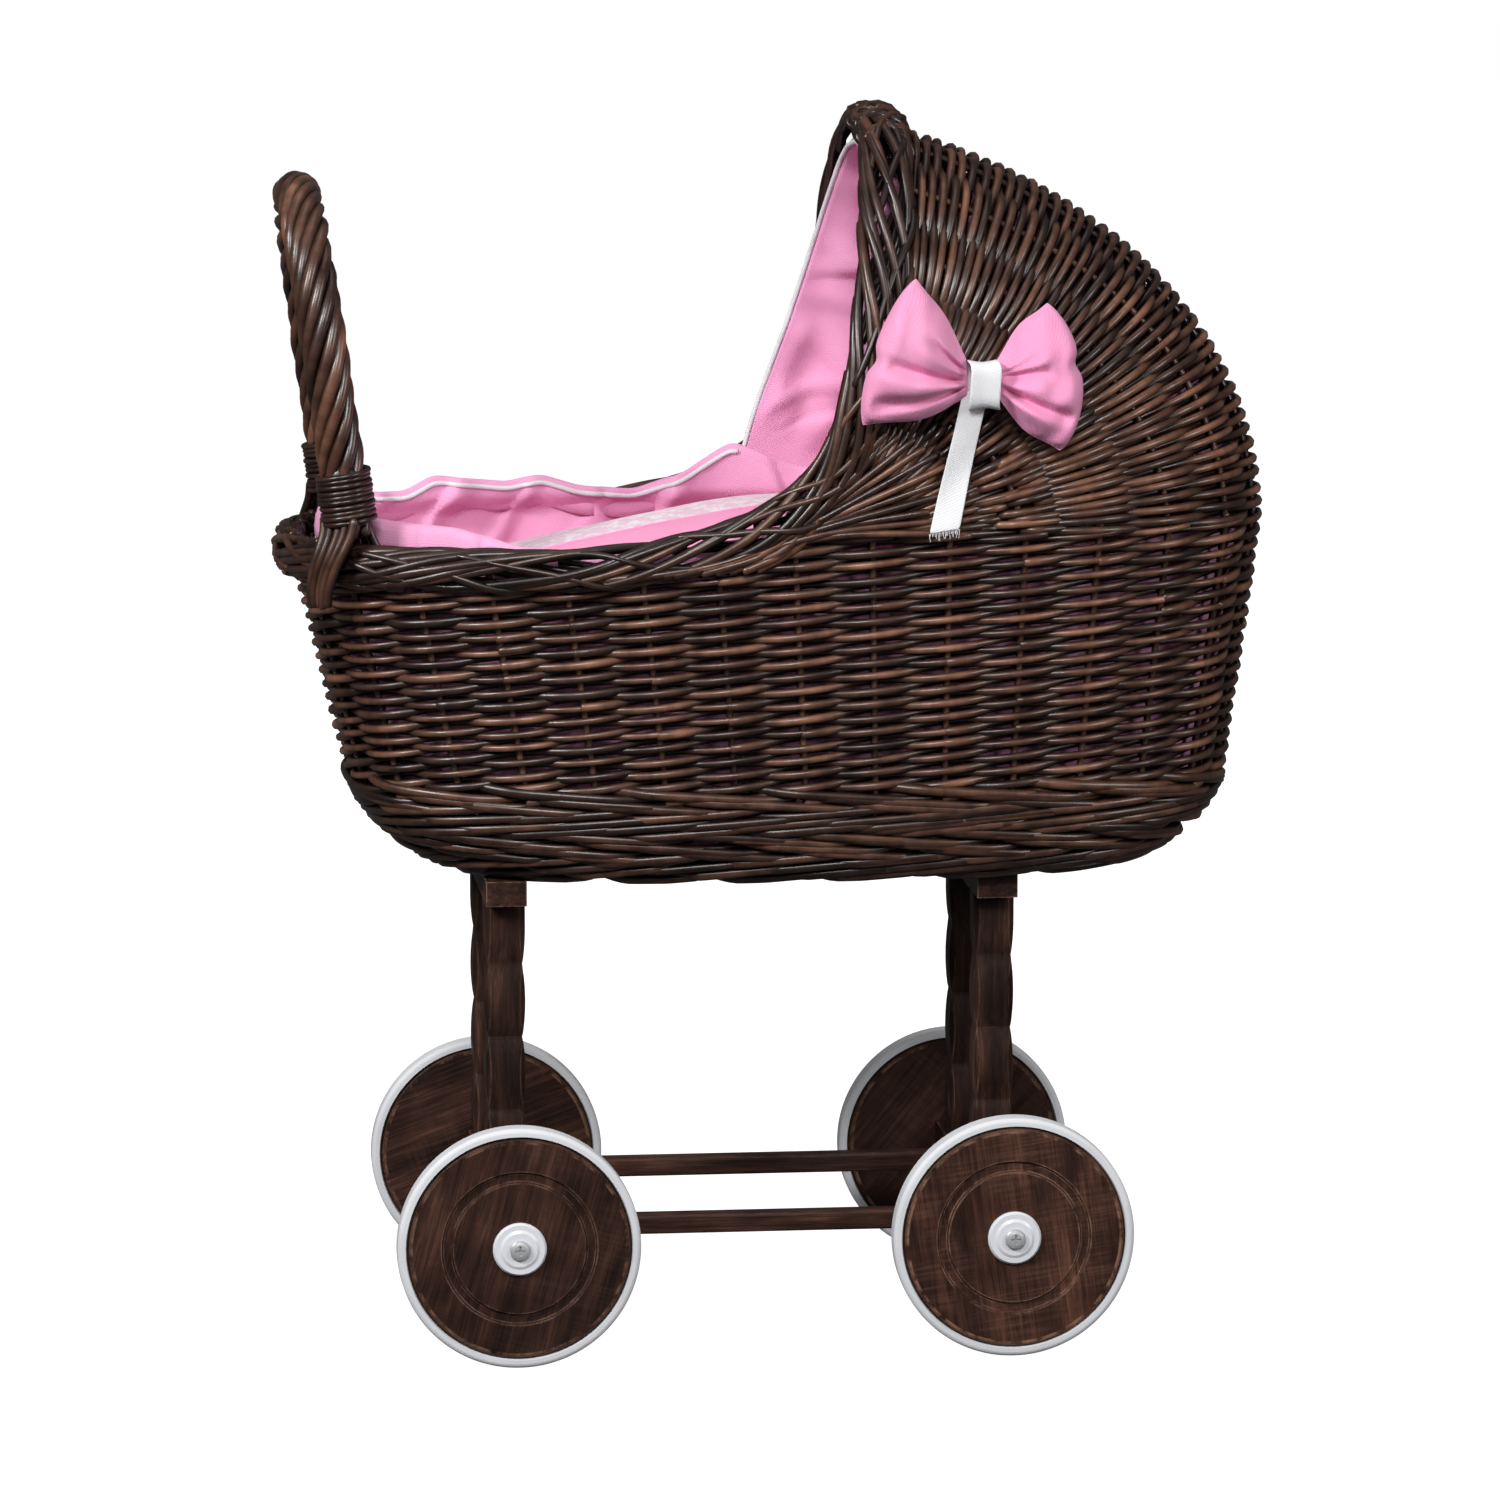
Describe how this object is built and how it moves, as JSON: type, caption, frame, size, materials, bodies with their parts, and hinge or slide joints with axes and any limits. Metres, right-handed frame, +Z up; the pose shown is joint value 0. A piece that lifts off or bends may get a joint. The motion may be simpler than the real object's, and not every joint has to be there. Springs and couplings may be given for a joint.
{
  "type": "doll stroller",
  "caption": "Woven willow doll pram with a fanned hood, a twisted rope handle, pink cotton lining, bedding and bows, on a wooden frame with turning wooden wheels.",
  "frame": {"origin": "on the floor below the middle of the basket", "axes": "+X to the hood end, -Y to the near side, +Z up"},
  "size_m": [0.5155, 0.2709, 0.6373],
  "materials": {
    "willow": "stained dark brown, satin",
    "stained_wood": "walnut stain, satin, light worn edges",
    "pink_cotton": "plain weave cotton",
    "white_cotton": "woven ribbon and cotton",
    "tyre_rubber": "matt white rubber",
    "hub_plastic": "moulded, glossy",
    "steel": "zinc plated"
  },
  "bodies": {
    "frame": {"basket_base": "willow", "basket_wall": "willow", "hood": "willow", "rim_border": "willow", "hood_border": "willow", "handle_rope": "willow", "handle_binding_near": "willow", "handle_binding_far": "willow", "basket_liner": "pink_cotton", "hood_liner": "pink_cotton", "liner_piping": "white_cotton", "mattress": "white_cotton", "duvet": "pink_cotton", "pillow": "pink_cotton", "bow_near": "pink_cotton", "bow_far": "pink_cotton", "bow_band_near": "white_cotton", "bow_band_far": "white_cotton", "bow_tail_near": "white_cotton", "bow_tail_far": "white_cotton", "bearer_foot": "stained_wood", "bearer_head": "stained_wood", "bearer_screws": "steel", "leg_dowels": "stained_wood", "leg_foot_near": "stained_wood", "leg_foot_far": "stained_wood", "leg_head_near": "stained_wood", "leg_head_far": "stained_wood", "axle_beam_foot": "stained_wood", "axle_beam_head": "stained_wood", "rail_near": "stained_wood", "rail_far": "stained_wood", "rail_pins": "steel", "wheel_screw_foot_near": "steel", "wheel_screw_foot_far": "steel", "wheel_screw_head_near": "steel", "wheel_screw_head_far": "steel", "washer_foot_near": "steel", "washer_foot_far": "steel", "washer_head_near": "steel", "washer_head_far": "steel"},
    "wheel_foot_near": {"disc_foot_near": "stained_wood", "tyre_foot_near": "tyre_rubber", "hub_bush_foot_near": "hub_plastic"},
    "wheel_foot_far": {"disc_foot_far": "stained_wood", "tyre_foot_far": "tyre_rubber", "hub_bush_foot_far": "hub_plastic"},
    "wheel_head_near": {"disc_head_near": "stained_wood", "tyre_head_near": "tyre_rubber", "hub_bush_head_near": "hub_plastic"},
    "wheel_head_far": {"disc_head_far": "stained_wood", "tyre_head_far": "tyre_rubber", "hub_bush_head_far": "hub_plastic"}
  },
  "joints": [
    {"name": "wheel_foot_near_spin", "type": "hinge", "parent": "frame", "child": "wheel_foot_near", "pos_m": [-0.1396, -0.12, 0.0625], "axis": [0, 1, 0], "continuous": true},
    {"name": "wheel_foot_far_spin", "type": "hinge", "parent": "frame", "child": "wheel_foot_far", "pos_m": [-0.1396, 0.12, 0.0625], "axis": [0, 1, 0], "continuous": true},
    {"name": "wheel_head_near_spin", "type": "hinge", "parent": "frame", "child": "wheel_head_near", "pos_m": [0.1152, -0.12, 0.0625], "axis": [0, 1, 0], "continuous": true},
    {"name": "wheel_head_far_spin", "type": "hinge", "parent": "frame", "child": "wheel_head_far", "pos_m": [0.1152, 0.12, 0.0625], "axis": [0, 1, 0], "continuous": true}
  ]
}
